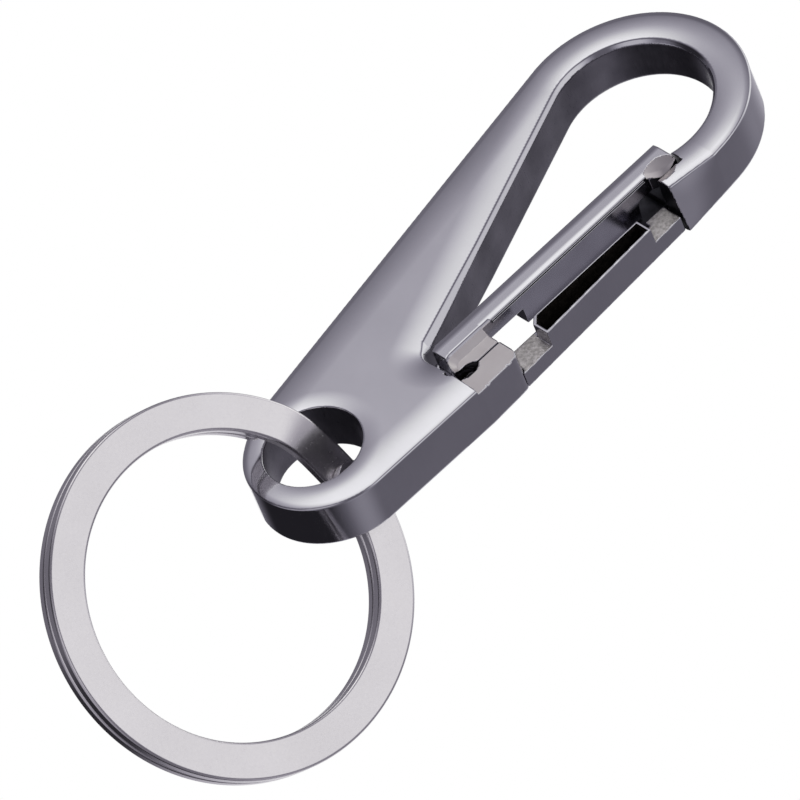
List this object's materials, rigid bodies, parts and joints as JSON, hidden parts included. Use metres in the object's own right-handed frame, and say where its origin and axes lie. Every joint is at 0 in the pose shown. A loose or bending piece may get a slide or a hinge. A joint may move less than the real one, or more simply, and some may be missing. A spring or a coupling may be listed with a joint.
{
  "type": "belt key clip",
  "caption": "Polished cast hook clip with a sprung two-bar gate, an eye at the foot and a flat split ring.",
  "frame": {"origin": "centre of the hook's round seat, halfway through the body's thickness", "axes": "+Z from the eye up to the hook, +X to the gate side, -Y out of the front face"},
  "size_m": [0.0298, 0.0274, 0.0856],
  "materials": {
    "body": "polished",
    "gate": "polished",
    "pin": "satin",
    "spring": "satin",
    "ring": "satin"
  },
  "bodies": {
    "clip": {"hook_body": "body", "hinge_pin": "pin", "gate_spring": "spring"},
    "front_lever": {"front_gate": "gate"},
    "rear_lever": {"rear_gate": "gate"},
    "ring": {"split_ring": "ring"}
  },
  "joints": [
    {"name": "front_gate_hinge", "type": "hinge", "parent": "clip", "child": "front_lever", "pos_m": [0.0075, 0, -0.028], "axis": [0, -1, 0], "range_deg": [0, 20], "stiffness_Nm_per_rad": 0.002, "springref_deg": -20.05, "deforming": ["gate_spring"]},
    {"name": "rear_gate_hinge", "type": "hinge", "parent": "clip", "child": "rear_lever", "pos_m": [0.0075, 0, -0.028], "axis": [0, -1, 0], "range_deg": [0, 20], "stiffness_Nm_per_rad": 0.002, "springref_deg": -20.05},
    {"name": "ring_swivel", "type": "hinge", "parent": "clip", "child": "ring", "pos_m": [0.0044, 0, -0.0435], "axis": [0, 0, 1], "range_deg": [0, 76]}
  ],
  "couplings": [
    {"joint": "rear_gate_hinge", "follows": "front_gate_hinge", "ratio": 1}
  ]
}
